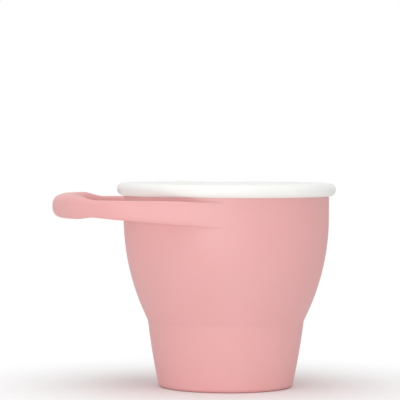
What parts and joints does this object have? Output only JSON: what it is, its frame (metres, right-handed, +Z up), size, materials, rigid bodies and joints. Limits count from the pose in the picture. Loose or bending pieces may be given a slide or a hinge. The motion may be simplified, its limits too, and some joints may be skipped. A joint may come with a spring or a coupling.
{
  "type": "collapsible snack cup",
  "caption": "Collapsible silicone snack cup for a toddler, with a loop handle, a white collar, a soft flap insert and a lid.",
  "frame": {"origin": "centre of the ring that the cup stands on, on the cup's axis", "axes": "+Z up along the cup's axis, the handle along -X"},
  "size_m": [0.1196, 0.093, 0.0866],
  "materials": {
    "cup_silicone": "matte",
    "flap_silicone": "matte",
    "white_plastic": "satin"
  },
  "bodies": {
    "base": {"base_cup": "cup_silicone", "fold_wall": "cup_silicone"},
    "upper": {"upper_cup": "cup_silicone", "handle": "cup_silicone"},
    "collar": {"collar": "white_plastic", "flap_insert": "flap_silicone"},
    "lid": {"lid": "white_plastic"},
    "flap_1": {"flap_1": "flap_silicone"},
    "flap_2": {"flap_2": "flap_silicone"},
    "flap_3": {"flap_3": "flap_silicone"},
    "flap_4": {"flap_4": "flap_silicone"},
    "flap_5": {"flap_5": "flap_silicone"},
    "flap_6": {"flap_6": "flap_silicone"},
    "flap_7": {"flap_7": "flap_silicone"},
    "flap_8": {"flap_8": "flap_silicone"}
  },
  "joints": [
    {"name": "collapse", "type": "slide", "parent": "base", "child": "upper", "axis": [0, 0, -1], "range_m": [0, 0.0456], "deforming": ["fold_wall"]},
    {"name": "collar_lift", "type": "slide", "parent": "upper", "child": "collar", "axis": [0, 0, 1], "range_m": [0, 0.05]},
    {"name": "lid_lift", "type": "slide", "parent": "collar", "child": "lid", "axis": [0, 0, 1], "range_m": [0, 0.04]},
    {"name": "flap_1_bend", "type": "hinge", "parent": "collar", "child": "flap_1", "pos_m": [0.02864, 0.01186, 0.0804], "axis": [0.3827, -0.9239, 0], "range_deg": [0, 60], "stiffness_Nm_per_rad": 0.002},
    {"name": "flap_2_bend", "type": "hinge", "parent": "collar", "child": "flap_2", "pos_m": [0.01186, 0.02864, 0.0804], "axis": [0.9239, -0.3827, 0], "range_deg": [0, 60], "stiffness_Nm_per_rad": 0.002},
    {"name": "flap_3_bend", "type": "hinge", "parent": "collar", "child": "flap_3", "pos_m": [-0.01186, 0.02864, 0.0804], "axis": [0.9239, 0.3827, 0], "range_deg": [0, 60], "stiffness_Nm_per_rad": 0.002},
    {"name": "flap_4_bend", "type": "hinge", "parent": "collar", "child": "flap_4", "pos_m": [-0.02864, 0.01186, 0.0804], "axis": [0.3827, 0.9239, 0], "range_deg": [0, 60], "stiffness_Nm_per_rad": 0.002},
    {"name": "flap_5_bend", "type": "hinge", "parent": "collar", "child": "flap_5", "pos_m": [-0.02864, -0.01186, 0.0804], "axis": [-0.3827, 0.9239, 0], "range_deg": [0, 60], "stiffness_Nm_per_rad": 0.002},
    {"name": "flap_6_bend", "type": "hinge", "parent": "collar", "child": "flap_6", "pos_m": [-0.01186, -0.02864, 0.0804], "axis": [-0.9239, 0.3827, 0], "range_deg": [0, 60], "stiffness_Nm_per_rad": 0.002},
    {"name": "flap_7_bend", "type": "hinge", "parent": "collar", "child": "flap_7", "pos_m": [0.01186, -0.02864, 0.0804], "axis": [-0.9239, -0.3827, 0], "range_deg": [0, 60], "stiffness_Nm_per_rad": 0.002},
    {"name": "flap_8_bend", "type": "hinge", "parent": "collar", "child": "flap_8", "pos_m": [0.02864, -0.01186, 0.0804], "axis": [-0.3827, -0.9239, 0], "range_deg": [0, 60], "stiffness_Nm_per_rad": 0.002}
  ]
}
